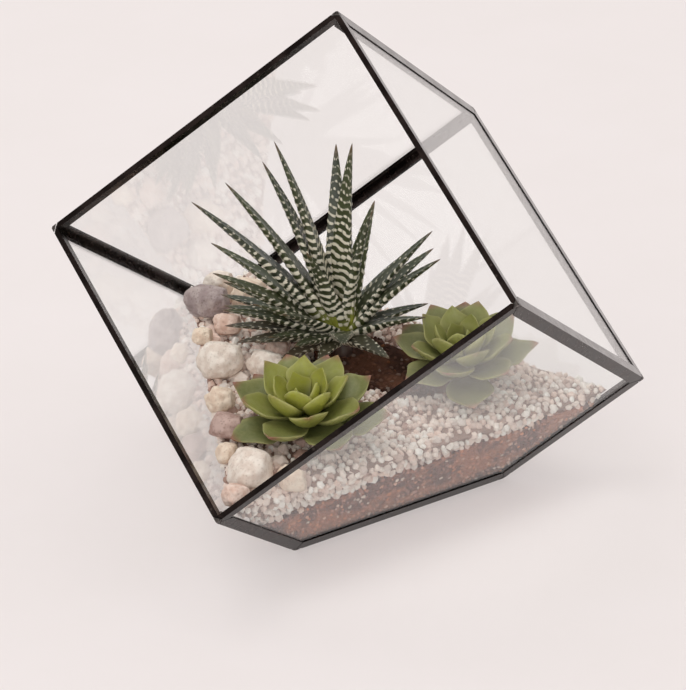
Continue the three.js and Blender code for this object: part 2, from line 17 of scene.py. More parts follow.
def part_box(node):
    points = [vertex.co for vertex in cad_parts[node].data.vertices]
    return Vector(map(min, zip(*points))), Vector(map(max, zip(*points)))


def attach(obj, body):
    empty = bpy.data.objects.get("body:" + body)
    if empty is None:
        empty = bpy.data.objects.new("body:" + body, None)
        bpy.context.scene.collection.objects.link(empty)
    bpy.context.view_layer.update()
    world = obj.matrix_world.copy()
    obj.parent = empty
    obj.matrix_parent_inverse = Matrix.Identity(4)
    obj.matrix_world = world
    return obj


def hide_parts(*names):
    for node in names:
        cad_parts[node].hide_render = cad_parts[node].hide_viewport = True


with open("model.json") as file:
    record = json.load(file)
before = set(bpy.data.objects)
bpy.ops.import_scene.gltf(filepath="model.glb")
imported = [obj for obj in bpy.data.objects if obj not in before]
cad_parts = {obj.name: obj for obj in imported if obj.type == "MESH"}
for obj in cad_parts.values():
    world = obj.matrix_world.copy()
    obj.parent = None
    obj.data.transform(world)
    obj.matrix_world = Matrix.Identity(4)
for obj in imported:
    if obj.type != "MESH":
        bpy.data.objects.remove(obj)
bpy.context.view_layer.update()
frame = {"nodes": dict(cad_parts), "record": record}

MM = 0.001

# %% [markdown]
# ## Camera
# A long lens from a metre and a half away looks down at the cube from the front right, with a slight tilt to
# one side. A long lens keeps the cube's edges nearly parallel, as on the real picture.

# %% Camera
CAMERA_AT = Vector((617.3, -1143.4, 673.5)) * MM
CAMERA_LOOK = Vector((-0.43349, 0.79601, -0.42244))
CAMERA_TILT = math.radians(-3.05)
LENS = 177.6
SENSOR = 36.0
SEEN_FROM, SEEN_TO = 0.05, 20.0


def add_object(name, data):
    """An object in the scene that shows the given data."""
    made = bpy.data.objects.new(name, data)
    bpy.context.scene.collection.objects.link(made)
    return made


camera_data = bpy.data.cameras.new("portrait_camera")
camera_data.lens = LENS
camera_data.sensor_width = SENSOR
camera_data.clip_start = SEEN_FROM
camera_data.clip_end = SEEN_TO
camera = add_object("portrait_camera", camera_data)
camera.location = CAMERA_AT
camera.rotation_mode = "QUATERNION"
camera.rotation_quaternion = CAMERA_LOOK.to_track_quat("-Z", "Y") @ Quaternion((0, 0, 1), CAMERA_TILT)
bpy.context.scene.camera = camera
print("camera looks down", round(math.degrees(math.asin(-CAMERA_LOOK.z)), 1), "degrees")

# %% [markdown]
# ## Small helpers for node trees
# Materials and Geometry Nodes are both trees of nodes. Three short helpers keep their cells readable: one
# makes a node and sets its inputs by name, one wires a value or a socket, one does arithmetic. The others
# mix colours, look a colour up, make a soft step, or turn a screen colour into the linear one of shaders.

# %% Node helpers
def wire(tree, value, socket):
    if isinstance(value, bpy.types.NodeSocket):
        tree.links.new(value, socket)
    else:
        socket.default_value = value


def add_node(tree, kind, settings=None, **inputs):
    node = tree.nodes.new(kind)
    for name, value in (settings or {}).items():
        setattr(node, name, value)
    for name, value in inputs.items():
        wire(tree, value, node.inputs[name.replace("_", " ")])
    return node


def calc(tree, operation, *terms):
    node = add_node(tree, "ShaderNodeMath", {"operation": operation})
    for socket, term in zip(node.inputs, terms):
        wire(tree, term, socket)
    return node.outputs[0]


def times(tree, product, *factors):
    for factor in factors:
        product = calc(tree, "MULTIPLY", product, factor)
    return product


# A mix node has a pair of inputs for each kind of data, so its colours are found by their places.
MIX_SHARE, MIX_FIRST, MIX_SECOND, MIX_RESULT = 0, 6, 7, 2


def blend(tree, share, first, second):
    """A colour between two, by a share from 0 to 1."""
    node = add_node(tree, "ShaderNodeMix", {"data_type": "RGBA"})
    wire(tree, share, node.inputs[MIX_SHARE])
    wire(tree, first, node.inputs[MIX_FIRST])
    wire(tree, second, node.inputs[MIX_SECOND])
    return node.outputs[MIX_RESULT]


def stain(tree, base, mask, strength, colour):
    """Lays a colour over a base, as far as a mask and a strength from 0 to 1 let it."""
    return blend(tree, times(tree, mask, strength), base, colour)


def step(tree, value, low, high):
    """0 below low, 1 above high and smooth between."""
    node = add_node(tree, "ShaderNodeMapRange", {"interpolation_type": "SMOOTHSTEP"}, Value=value)
    wire(tree, low, node.inputs["From Min"])
    wire(tree, high, node.inputs["From Max"])
    return node.outputs[0]


def linear(channel):
    """A screen value, 0 to 255, as the linear value that shaders use."""
    if channel < 11:
        return channel / 255 / 12.92
    return ((channel / 255 + 0.055) / 1.055) ** 2.4


def srgb(red, green, blue):
    return linear(red), linear(green), linear(blue), 1


def ramp(tree, value, stops):
    """A colour ramp from stops of a position and a screen colour."""
    node = add_node(tree, "ShaderNodeValToRGB", Fac=value)
    elements = node.color_ramp.elements
    while len(elements) < len(stops):
        elements.new(0.5)
    for element, (position, colour) in zip(elements, stops):
        element.position = position
        element.color = srgb(*colour)
    return node.outputs[0]


print("mid grey is", round(srgb(128, 128, 128)[0], 3))

# %% [markdown]
# ## Shader groups
# Three effects are shared by several finishes: soft mottling, small specks, and fine grain for bumps. Each is
# a node group with named inputs, built once. All of them read Object coordinates, so nothing slides.

# %% Shader groups
def shader_group(name, sockets, output):
    tree = bpy.data.node_groups.new(name, "ShaderNodeTree")
    for label, value in sockets.items():
        socket = tree.interface.new_socket(label, in_out="INPUT", socket_type="NodeSocketFloat")
        socket.default_value = value
    tree.interface.new_socket(output, in_out="OUTPUT", socket_type="NodeSocketFloat")
    inside = tree.nodes.new("NodeGroupInput")
    outside = tree.nodes.new("NodeGroupOutput")
    place = tree.nodes.new("ShaderNodeTexCoord").outputs["Object"]
    return tree, inside.outputs, outside.inputs[output], place


def per_metre(tree, size):
    """The scale of a texture whose features have a size in millimetres."""
    return calc(tree, "DIVIDE", 1000.0, size)


def mottling_group():
    """Soft patches: 0 in some places and 1 in others. Patch is their size in millimetres."""
    tree, given, result, place = shader_group("Mottling", {"Patch": 4.0, "Contrast": 0.2}, "Mask")
    scale = per_metre(tree, given["Patch"])
    noise = add_node(tree, "ShaderNodeTexNoise", Vector=place, Scale=scale, Detail=3.0, Roughness=0.6)
    low = calc(tree, "SUBTRACT", 0.5, given["Contrast"])
    high = calc(tree, "ADD", 0.5, given["Contrast"])
    wire(tree, step(tree, noise.outputs["Fac"], low, high), result)
    return tree


EMPTY_CELLS = 0.55


def specks_group():
    """Round specks in some cells. Spacing is in millimetres, Share is how much of its cell a speck fills."""
    tree, given, result, place = shader_group("Specks", {"Spacing": 2.0, "Share": 0.3}, "Mask")
    scale = per_metre(tree, given["Spacing"])
    cells = add_node(tree, "ShaderNodeTexVoronoi", Vector=place, Scale=scale)
    chosen = add_node(tree, "ShaderNodeSeparateColor", Color=cells.outputs["Color"])
    inside = calc(tree, "LESS_THAN", cells.outputs["Distance"], given["Share"])
    wanted = calc(tree, "GREATER_THAN", chosen.outputs[0], EMPTY_CELLS)
    wire(tree, times(tree, inside, wanted), result)
    return tree


def grain_group():
    """A rough, fine height for bumps. Size is in millimetres."""
    tree, given, result, place = shader_group("Fine grain", {"Size": 0.6}, "Height")
    scale = per_metre(tree, given["Size"])
    noise = add_node(tree, "ShaderNodeTexNoise", Vector=place, Scale=scale, Detail=4.0, Roughness=0.7)
    wire(tree, noise.outputs["Fac"], result)
    return tree


MOTTLING = mottling_group()
SPECKS = specks_group()
GRAIN = grain_group()
print("shader groups", [g.name for g in (MOTTLING, SPECKS, GRAIN)])

# %% Material helpers
def use_group(tree, group, **values):
    return add_node(tree, "ShaderNodeGroup", {"node_tree": group}, **values).outputs[0]


def mottled(tree, patch, contrast):
    return use_group(tree, MOTTLING, Patch=patch, Contrast=contrast)


def speckled(tree, spacing, share):
    return use_group(tree, SPECKS, Spacing=spacing, Share=share)


def attribute(tree, name):
    return add_node(tree, "ShaderNodeAttribute", {"attribute_name": name}).outputs["Fac"]


def new_material(name, **plain):
    """A material with its Principled shader, whose plain values are set on its own sockets."""
    material = bpy.data.materials.new(name)
    material.use_nodes = True
    tree = material.node_tree
    shader = tree.nodes["Principled BSDF"]
    for label, value in plain.items():
        shader.inputs[label.replace("_", " ")].default_value = value
    return material, tree, shader


def paint(tree, shader, colour):
    wire(tree, colour, shader.inputs["Base Color"])


def vary_roughness(tree, shader, mask, change, plain):
    """A plain roughness, changed where the mask is 1."""
    wire(tree, calc(tree, "MULTIPLY_ADD", mask, change, plain), shader.inputs["Roughness"])


def bump(tree, shader, size, depth, strength):
    """Fine grain as a bump, with its size and depth in millimetres."""
    grain = use_group(tree, GRAIN, Size=size)
    node = add_node(tree, "ShaderNodeBump", Height=grain, Strength=strength, Distance=depth * MM)
    tree.links.new(node.outputs[0], shader.inputs["Normal"])


def finish_nodes(word, material):
    """Gives a finish to each CAD node that has the word in its name."""
    nodes = [node for name, node in frame["nodes"].items() if word in name]
    for node in nodes:
        node.material_slots[0].material = material
    print(material.name, "on", len(nodes), "nodes")


print("sizes of patches, specks and bumps are in millimetres, each", MM, "m")

# %% [markdown]
# ## Black metal came
# The came is folded sheet metal, blackened in a patina bath. The black is never even: it is browner where
# it was handled, and duller in patches. Soft mottling drives both colour and roughness. A thin coat of wax
# lies over it: seen straight on it hardly shows, and along a flat edge it mirrors the pale room.

# %% Came finish
came, tree, shader = new_material(
    "blackened_came", Metallic=1.0, Coat_Weight=1.0, Coat_Roughness=0.12, Coat_IOR=1.12
)
patches = mottled(tree, 9.0, 0.18)
rubbed = speckled(tree, 3.5, 0.16)
dark = blend(tree, patches, srgb(26, 19, 17), srgb(48, 38, 35))
paint(tree, shader, stain(tree, dark, rubbed, 0.25, srgb(112, 100, 94)))
vary_roughness(tree, shader, patches, 0.12, 0.2)
bump(tree, shader, 1.2, 0.05, 0.35)
finish_nodes("came", came)

solder, tree, shader = new_material("blackened_solder", Metallic=0.7)
patches = mottled(tree, 1.6, 0.15)
paint(tree, shader, blend(tree, patches, srgb(40, 34, 32), srgb(96, 88, 84)))
vary_roughness(tree, shader, patches, -0.15, 0.42)
bump(tree, shader, 1.6, 0.15, 0.6)
finish_nodes("solder", solder)

# %% [markdown]
# ## Sheet glass
# The panes are clear sheet glass, a real slab with two faces, so a glass shader bends and mirrors light as
# the real sheet does: that mirror is what veils the gravel behind the lower pane. Light rays to the lamps
# pass straight through, because the shadow of clear glass is hardly there.

# %% Glass finish
GLASS_TINT = (0.985, 0.995, 0.99, 1)
SHADOW_TINT = (0.97, 0.98, 0.975, 1)

glass, tree, shader = new_material(
    "sheet_glass", Transmission_Weight=1.0, Roughness=0.0, IOR=1.52, Metallic=0.0
)
shader.inputs["Base Color"].default_value = GLASS_TINT
smear = mottled(tree, 26.0, 0.3)
wire(tree, times(tree, smear, 0.03), shader.inputs["Roughness"])
clear = add_node(tree, "ShaderNodeBsdfTransparent", Color=SHADOW_TINT)
rays = tree.nodes.new("ShaderNodeLightPath")
mix = add_node(tree, "ShaderNodeMixShader")
for source, socket in zip((rays.outputs["Is Shadow Ray"], shader.outputs[0], clear.outputs[0]), mix.inputs):
    tree.links.new(source, socket)
tree.links.new(mix.outputs[0], tree.nodes["Material Output"].inputs["Surface"])
finish_nodes("pane", glass)

# %% [markdown]
# ## The ground inside
# The same rules as in the CAD source give the surfaces: gravel that falls to the right over a band of soil,
# and a pocket of bare soil round the tall plant. The ground fills the cube's lower part, so a body
# between two surfaces is cut by the planes of the cube's faces.

# %% The cube's faces
EDGE = 150.0
STEP = EDGE / math.sqrt(3)
REACH = EDGE * math.sqrt(2 / 3)
LOWEST = -0.5 * STEP
TOP = Vector((0, 0, LOWEST + 3 * STEP))


def around_axis(degrees, level):
    turn = math.radians(degrees)
    return Vector((REACH * math.cos(turn), REACH * math.sin(turn), LOWEST + level * STEP))


NADIR = Vector((0, 0, LOWEST))
axes = [(around_axis(degrees, 1) - NADIR).normalized() for degrees in (-90, 30, 150)]
# Each face: a point on it and its normal out of the cube.
cube_faces = [(NADIR, -axis) for axis in axes]
cube_faces += [(TOP, axis) for axis in axes]
cube_faces.append((Vector((0, 0, 0)), Vector((0, 0, -1))))
print("cube faces", len(cube_faces))

# %% Surfaces of the ground
BED = {"height": 50.5, "fall": 0.125, "rise": 0.055, "wave": 0.9}
LOAM = {"height": 27.0, "rise": 0.1, "wave": 1.6}
POCKET = {"x": -2.0, "y": 20.0, "rx": 33.0, "ry": 21.0, "depth": 7.0}


def bed_height(x, y):
    """The top of the gravel, which falls to the right and rises to the back, with shallow waves."""
    plane = BED["height"] - BED["fall"] * x + BED["rise"] * y
    return plane + BED["wave"] * math.sin(x / 11) * math.cos(y / 9 + 1)


def loam_height(x, y):
    """The top of the soil under the gravel."""
    return LOAM["height"] + LOAM["rise"] * x + LOAM["wave"] * math.sin(x / 8 + 1) * math.cos(y / 10)


def in_pocket(x, y):
    """How far out a point lies, 1 on the pocket's edge, with a wavy outline."""
    angle = math.atan2(y - POCKET["y"], x - POCKET["x"])
    wave = 1 + 0.09 * math.sin(3 * angle + 1) + 0.05 * math.sin(7 * angle)
    return math.hypot((x - POCKET["x"]) / POCKET["rx"], (y - POCKET["y"]) / POCKET["ry"]) / wave


def ground_body(lower, upper, margin, cell):
    """A closed body between two surfaces, cut a margin inside each face of the cube, in millimetres."""
    half = math.ceil(REACH / cell)
    body = bmesh.new()
    rows = {}
    for layer, surface in enumerate((lower, upper)):
        for j in range(-half, half + 1):
            for i in range(-half, half + 1):
                x, y = i * cell, j * cell
                rows[layer, i, j] = body.verts.new((x, y, surface(x, y)))
    for j in range(-half, half):
        for i in range(-half, half):
            quad = [(i, j), (i + 1, j), (i + 1, j + 1), (i, j + 1)]
            body.faces.new([rows[1, *corner] for corner in quad])
            body.faces.new([rows[0, *corner] for corner in reversed(quad)])
    rim = [(i, -half) for i in range(-half, half)] + [(half, j) for j in range(-half, half)]
    rim += [(i, half) for i in range(half, -half, -1)] + [(-half, j) for j in range(half, -half, -1)]
    for a, b in zip(rim, rim[1:] + rim[:1]):
        body.faces.new([rows[0, *a], rows[0, *b], rows[1, *b], rows[1, *a]])
    for point, outward in cube_faces:
        cut = bmesh.ops.bisect_plane(
            body,
            geom=body.verts[:] + body.edges[:] + body.faces[:],
            plane_co=point - outward * margin,
            plane_no=outward,
            clear_outer=True,
        )
        edges = [e for e in cut["geom_cut"] if isinstance(e, bmesh.types.BMEdge)]
        if edges:
            bmesh.ops.edgeloop_fill(body, edges=edges)
    bmesh.ops.triangulate(body, faces=body.faces[:])
    return body


def to_object(body, name, smooth=False):
    """A bmesh in millimetres as an object in metres, at the origin, with its place in its mesh."""
    bmesh.ops.scale(body, vec=(MM, MM, MM), verts=body.verts)
    mesh = bpy.data.meshes.new(name)
    body.to_mesh(mesh)
    body.free()
    for polygon in mesh.polygons:
        polygon.use_smooth = smooth
    return add_object(name, mesh)


def clamp(value):
    return max(0.0, min(1.0, value))


FILL_MARGIN = 2.6
GRAVEL_RECESS = 2.4
SOIL_RECESS = 1.0
BELOW_FLOOR = -5.0
HEAP = {"sunk": 2.2, "wave": 1.2}
# Measured as in_pocket does: where the gravel is at full height, where loam begins, and how soon.
GRAVEL_FULL, GRAVEL_DIP = 1.12, 0.2
LOAM_FROM, LOAM_DIP = 0.95, 0.1
GRAVEL_CELL = 5.0
SOIL_CELL = 4.0


def gravel_top(x, y):
    """The gravel under its grains. It dips where the pocket begins."""
    sunk = clamp((GRAVEL_FULL - in_pocket(x, y)) / GRAVEL_DIP)
    return bed_height(x, y) - GRAVEL_RECESS - POCKET["depth"] * sunk


def soil_top(x, y):
    """The soil under its crumbs: heaped up in the pocket, and low under the gravel outside it."""
    sunk = clamp((in_pocket(x, y) - LOAM_FROM) / LOAM_DIP)
    heap = bed_height(x, y) - HEAP["sunk"] + HEAP["wave"] * math.sin(x / 5 + y / 7) * math.cos(y / 4)
    return heap * (1 - sunk) + (loam_height(x, y) - SOIL_RECESS) * sunk


gravel_body = ground_body(loam_height, gravel_top, FILL_MARGIN + GRAVEL_RECESS, GRAVEL_CELL)
soil_body = ground_body(lambda x, y: BELOW_FLOOR, soil_top, FILL_MARGIN + SOIL_RECESS, SOIL_CELL)
gravel = to_object(gravel_body, "gravel_bed")
soil = to_object(soil_body, "soil_bed")
print("gravel faces", len(gravel.data.polygons), "soil faces", len(soil.data.polygons))

# %% [markdown]
# ## Loose grains
# Gravel is thousands of small broken stones, and soil is crumbs. Placing them by hand is hopeless, and this
# is what Geometry Nodes are for: points are spread over the ground with an even spacing, and each gets a
# squashed, turned and slightly dented twenty-sided grain. Grains sink so far that none pokes through glass.

# %% Geometry Nodes helpers
SOCKET_KINDS = {float: "NodeSocketFloat", int: "NodeSocketInt", bool: "NodeSocketBool"}


def geometry_tree(name, **inputs):
    """A tree that takes a geometry, named inputs with their usual values, and a material."""
    tree = bpy.data.node_groups.new(name, "GeometryNodeTree")
    tree.interface.new_socket("Geometry", in_out="INPUT", socket_type="NodeSocketGeometry")
    for label, value in inputs.items():
        kind = SOCKET_KINDS[type(value)]
        tree.interface.new_socket(label, in_out="INPUT", socket_type=kind).default_value = value
    tree.interface.new_socket("Material", in_out="INPUT", socket_type="NodeSocketMaterial")
    tree.interface.new_socket("Geometry", in_out="OUTPUT", socket_type="NodeSocketGeometry")
    result = tree.nodes.new("NodeGroupOutput").inputs["Geometry"]
    return tree, tree.nodes.new("NodeGroupInput").outputs, result


def finish_tree(tree, geometry, material, result):
    """Every tree ends in Realize Instances and Set Material."""
    real = add_node(tree, "GeometryNodeRealizeInstances", Geometry=geometry)
    dressed = add_node(tree, "GeometryNodeSetMaterial", Geometry=real.outputs[0], Material=material)
    wire(tree, dressed.outputs[0], result)


def grow(tree, piece, **values):
    """Runs a tree on an object with its inputs set by name, and keeps the result as a plain mesh."""
    modifier = piece.modifiers.new("rule", "NODES")
    modifier.node_group = tree
    identifiers = {item.name: item.identifier for item in tree.interface.items_tree if item.in_out == "INPUT"}
    for label, value in values.items():
        modifier[identifiers[label.replace("_", " ")]] = value
    piece.update_tag()
    bpy.context.view_layer.update()
    graph = bpy.context.evaluated_depsgraph_get()
    mesh = bpy.data.meshes.new_from_object(
        piece.evaluated_get(graph), preserve_all_data_layers=True, depsgraph=graph
    )
    piece.modifiers.clear()
    mesh.name = piece.name
    piece.data = mesh
    return piece


def position(tree):
    return tree.nodes.new("GeometryNodeInputPosition").outputs[0]


def combine(tree, operation, first, second):
    node = add_node(tree, "ShaderNodeVectorMath", {"operation": operation})
    wire(tree, first, node.inputs[0])
    wire(tree, second, node.inputs[1])
    return node.outputs


def scaled(tree, vector, factor):
    node = add_node(tree, "ShaderNodeVectorMath", {"operation": "SCALE"}, Scale=factor)
    wire(tree, vector, node.inputs[0])
    return node.outputs[0]


def shift(tree, geometry, offset):
    return add_node(tree, "GeometryNodeSetPosition", Geometry=geometry, Offset=offset).outputs[0]


def noise_push(tree, geometry, size, depth):
    """Dents a shape: each point is pushed by noise, whose size and depth are in millimetres."""
    noise = add_node(tree, "ShaderNodeTexNoise", Vector=position(tree), Scale=1000.0 / size, Detail=1.0)
    centred = combine(tree, "SUBTRACT", noise.outputs["Color"], (0.5, 0.5, 0.5))[0]
    return shift(tree, geometry, scaled(tree, centred, depth * MM))


def random_value(tree, kind, low, high, seed):
    node = add_node(tree, "FunctionNodeRandomValue", {"data_type": kind})
    enabled = {socket.name: socket for socket in node.inputs if socket.enabled}
    for name, value in (("Min", low), ("Max", high), ("Seed", seed)):
        wire(tree, value, enabled[name])
    return next(socket for socket in node.outputs if socket.enabled)


def store(tree, geometry, name, value, domain="POINT"):
    """Keeps a value on each point, or on each instance, under a name that a finish can read."""
    settings = {"domain": domain, "data_type": "FLOAT"}
    kind = "GeometryNodeStoreNamedAttribute"
    return add_node(tree, kind, settings, Geometry=geometry, Name=name, Value=value).outputs[0]


print("each tree ends in Realize Instances and Set Material")

# %% The tree of loose grains
DENSEST = 2.0e6
FULL_TURN = (6.28, 6.28, 6.28)
THINNEST, FULLEST = (0.75, 0.6, 0.55), (1.1, 1.0, 0.9)
DENT = {"size": 2.0, "depth": 1.1}


def grains_tree():
    tree, given, result = geometry_tree(
        "Loose grains", Spacing=0.003, Smallest=0.0012, Largest=0.0022, Recess=0.002, Facing=-0.7,
        Ground=True, Seed=1,
    )
    normal = tree.nodes.new("GeometryNodeInputNormal").outputs[0]
    upward = add_node(tree, "ShaderNodeSeparateXYZ", Vector=normal).outputs["Z"]
    chosen = calc(tree, "GREATER_THAN", upward, given["Facing"])
    spread = add_node(
        tree,
        "GeometryNodeDistributePointsOnFaces",
        {"distribute_method": "POISSON"},
        Mesh=given["Geometry"],
        Selection=chosen,
        Distance_Min=given["Spacing"],
        Density_Max=DENSEST,
        Seed=given["Seed"],
    )

    def draw(number, kind, low, high):
        """A random value for each grain, with a seed of its own."""
        return random_value(tree, kind, low, high, calc(tree, "ADD", given["Seed"], float(number)))

    size = draw(1, "FLOAT", given["Smallest"], given["Largest"])
    out = calc(tree, "SUBTRACT", given["Recess"], size)
    lifted = shift(tree, spread.outputs["Points"], scaled(tree, spread.outputs["Normal"], out))
    grain = add_node(tree, "GeometryNodeMeshIcoSphere", Radius=1.0, Subdivisions=1)
    placed = add_node(
        tree,
        "GeometryNodeInstanceOnPoints",
        Points=lifted,
        Instance=grain.outputs["Mesh"],
        Rotation=draw(2, "FLOAT_VECTOR", (0, 0, 0), FULL_TURN),
        Scale=scaled(tree, draw(3, "FLOAT_VECTOR", THINNEST, FULLEST), size),
    )
    tinted = store(tree, placed.outputs[0], "tint", draw(4, "FLOAT", 0.05, 1.0), "INSTANCE")
    real = add_node(tree, "GeometryNodeRealizeInstances", Geometry=tinted)
    dented = noise_push(tree, real.outputs[0], **DENT)
    ground = add_node(tree, "GeometryNodeSwitch", {"input_type": "GEOMETRY"}, Switch=given["Ground"])
    wire(tree, given["Geometry"], ground.inputs["True"])
    joined = add_node(tree, "GeometryNodeJoinGeometry")
    tree.links.new(dented, joined.inputs[0])
    tree.links.new(ground.outputs[0], joined.inputs[0])
    finish_tree(tree, joined.outputs[0], given["Material"], result)
    return tree


GRAINS = grains_tree()
print("tree", GRAINS.name, "nodes", len(GRAINS.nodes))

# %% [markdown]
# ## Gravel and soil finishes
# Each grain carries a random number, its tint. A colour ramp turns it into the pale pinks, creams and greys
# of washed gravel, or into the browns of soil with a few orange and white crumbs. Where the tint is 0 the
# ground between the grains shows, in shade. The open soil of the pocket is painted darker above a set height:
# this is painted shade, the shade of the leaves over it.

# %% Ground finishes
# Heights in metres above which the pocket's soil gets painted shade, the shade of the leaves over it.
POCKET_SHADE_FROM, POCKET_SHADE_ABOVE = 0.038, 0.046

gravel_finish, tree, shader = new_material("washed_gravel", Roughness=0.85, Specular_IOR_Level=0.3)
colours = [
    (0.0, (150, 122, 110)),
    (0.06, (232, 208, 196)),
    (0.3, (254, 244, 234)),
    (0.5, (240, 212, 198)),
    (0.66, (255, 250, 242)),
    (0.82, (178, 140, 126)),
    (0.9, (255, 251, 244)),
]
washed = ramp(tree, attribute(tree, "tint"), colours)
paint(tree, shader, stain(tree, washed, mottled(tree, 1.6, 0.25), 0.2, srgb(206, 176, 162)))
bump(tree, shader, 0.5, 0.15, 0.7)

soil_finish, tree, shader = new_material("potting_soil", Roughness=0.95, Specular_IOR_Level=0.2)
colours = [
    (0.0, (104, 66, 56)),
    (0.3, (146, 98, 86)),
    (0.55, (176, 124, 110)),
    (0.76, (204, 156, 140)),
    (0.84, (232, 140, 84)),
    (0.92, (250, 232, 218)),
]
place = tree.nodes.new("ShaderNodeTexCoord").outputs["Object"]
height = add_node(tree, "ShaderNodeSeparateXYZ", Vector=place).outputs["Z"]
# Painted shade of the leaves over the pocket: the soil is darkened above these heights.
pocket_shade = step(tree, height, POCKET_SHADE_FROM, POCKET_SHADE_ABOVE)
patches = mottled(tree, 6.0, 0.2)
rusty = mottled(tree, 15.0, 0.07)
earth = stain(tree, ramp(tree, attribute(tree, "tint"), colours), patches, 0.5, srgb(120, 78, 68))
earth = stain(tree, earth, rusty, 0.5, srgb(212, 138, 100))
paint(tree, shader, stain(tree, earth, pocket_shade, 0.72, srgb(62, 46, 36)))
bump(tree, shader, 0.7, 0.3, 0.9)
print("ground finishes", gravel_finish.name, soil_finish.name)

# %% Gravel and soil
grow(GRAINS, gravel, Spacing=0.0026, Smallest=0.0013, Largest=0.0029, Recess=GRAVEL_RECESS * MM,
     Facing=-0.75, Seed=11, Material=gravel_finish)
grow(GRAINS, soil, Spacing=0.0022, Smallest=0.0007, Largest=0.0019, Recess=SOIL_RECESS * MM,
     Facing=-0.9, Seed=23, Material=soil_finish)
for piece, node in ((gravel, "gravel"), (soil, "soil")):
    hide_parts(node)
    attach(piece, "root")
    print(piece.name, "triangles", len(piece.data.polygons))

# %% [markdown]
# ## Chips and pebbles
# Washed gravel is never one size. Larger chips lie half sunk among the small grains, and larger pebbles
# gather at the foot of the cobbles. The same tree spreads both, now without the ground under them.

# %% Chips in the gravel
CHIP_DEPTH = 1.4
CHIPS_OVER_SOIL = 2.0
CHIP_RECESS = GRAVEL_RECESS + CHIP_DEPTH


def chip_top(x, y):
    return gravel_top(x, y) - CHIP_DEPTH


def chip_bottom(x, y):
    return loam_height(x, y) + CHIPS_OVER_SOIL


chips = to_object(ground_body(chip_bottom, chip_top, FILL_MARGIN + CHIP_RECESS, GRAVEL_CELL), "gravel_chips")
grow(GRAINS, chips, Spacing=0.0074, Smallest=0.0022, Largest=0.0036, Recess=CHIP_RECESS * MM,
     Facing=-0.75, Ground=False, Seed=31, Material=gravel_finish)
print("chip recess", CHIP_RECESS, "mm")

# %% Pebbles at the foot of the cobbles
PEBBLE_CELL = 4.0
PEBBLE_RECESS = 4.2
PEBBLE_BAND = 40.0
PEBBLE_DEPTH = 2.0
CLEAR_OF_PANES = 9.0
CLEAR_OF_POCKET = 1.15
WELDED_WITHIN = 0.01
TO_LEFT_PANE = axes[1]


def pebble_patch():
    """The gravel's surface along the left pane, as a sheet of square cells."""
    half = math.ceil(REACH / PEBBLE_CELL)
    body = bmesh.new()
    for j in range(-half, half):
        for i in range(-half, half):
            x, y = (i + 0.5) * PEBBLE_CELL, (j + 0.5) * PEBBLE_CELL
            place = Vector((x, y, bed_height(x, y) - PEBBLE_DEPTH)) - NADIR
            clear = all(CLEAR_OF_PANES < place.dot(axis) < EDGE - CLEAR_OF_PANES for axis in axes)
            near = place.dot(TO_LEFT_PANE) < PEBBLE_BAND
            if clear and near and in_pocket(x, y) > CLEAR_OF_POCKET:
                corners = [(i, j), (i + 1, j), (i + 1, j + 1), (i, j + 1)]
                spots = [(a * PEBBLE_CELL, b * PEBBLE_CELL) for a, b in corners]
                points = [(u, v, bed_height(u, v) - PEBBLE_DEPTH) for u, v in spots]
                body.faces.new([body.verts.new(point) for point in points])
    bmesh.ops.remove_doubles(body, verts=body.verts, dist=WELDED_WITHIN)
    return body


pebbles = to_object(pebble_patch(), "gravel_pebbles")
grow(GRAINS, pebbles, Spacing=0.0092, Smallest=0.0028, Largest=0.0048, Recess=PEBBLE_RECESS * MM,
     Facing=-0.5, Ground=False, Seed=43, Material=gravel_finish)
for piece in (chips, pebbles):
    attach(piece, "root")
    print(piece.name, "triangles", len(piece.data.polygons))

# %% [markdown]
# ## Cobbles
# The larger stones are broken rock that water wore round: flat sides with soft edges between them. One tree
# makes them all. A fine ball is pushed by noise of two sizes, tumbled, and pressed flat on seven sides.
# Each is then fitted to the box of its CAD stone, so it lies in the same place.

# %% The tree of a cobble
FLAT_SIDES = [
    (1, 0.3, 0.2), (-0.7, 0.8, 0.1), (-0.5, -0.9, 0.4), (0.3, -0.6, -0.9),
    (0.1, 0.5, 1), (-0.9, 0.1, -0.6), (0.6, 0.9, -0.5),
]
PRESSED_BACK = -0.8
LUMP_NOISE, DENT_NOISE = {"scale": 0.9, "share": 1.0}, {"scale": 2.6, "share": 0.16}
TUMBLE_RATES = (1.7, 2.3, 0.9)


def cobble_push(tree, given, place, scale, share):
    """How far noise of one size pushes a point, as a share of its distance from the middle."""
    noise = add_node(tree, "ShaderNodeTexNoise", {"noise_dimensions": "4D"}, Vector=place, W=given["Seed"])
    wire(tree, scale, noise.inputs["Scale"])
    wire(tree, 2.0, noise.inputs["Detail"])
    return times(tree, calc(tree, "SUBTRACT", noise.outputs["Fac"], 0.5), share, given["Lumps"])


def cobble_tree():
    tree, given, result = geometry_tree("Cobble", Seed=0.0, Lumps=0.3, Flats=0.74)
    ball = add_node(tree, "GeometryNodeMeshIcoSphere", Radius=1.0, Subdivisions=5)
    place = position(tree)
    pushes = [cobble_push(tree, given, place, **noise) for noise in (LUMP_NOISE, DENT_NOISE)]
    dented = shift(tree, ball.outputs["Mesh"], scaled(tree, place, calc(tree, "ADD", *pushes)))
    tumble = add_node(tree, "ShaderNodeCombineXYZ")
    for socket, rate in zip(tumble.inputs, TUMBLE_RATES):
        wire(tree, times(tree, given["Seed"], rate), socket)
    stone = add_node(tree, "GeometryNodeTransform", Geometry=dented, Rotation=tumble.outputs[0]).outputs[0]
    for direction in FLAT_SIDES:
        side = Vector(direction).normalized()
        reach = combine(tree, "DOT_PRODUCT", position(tree), side)["Value"]
        over = calc(tree, "MAXIMUM", calc(tree, "SUBTRACT", reach, given["Flats"]), 0.0)
        stone = shift(tree, stone, scaled(tree, side, times(tree, over, PRESSED_BACK)))
    smooth = add_node(tree, "GeometryNodeSetShadeSmooth", Geometry=stone)
    finish_tree(tree, smooth.outputs[0], given["Material"], result)
    return tree


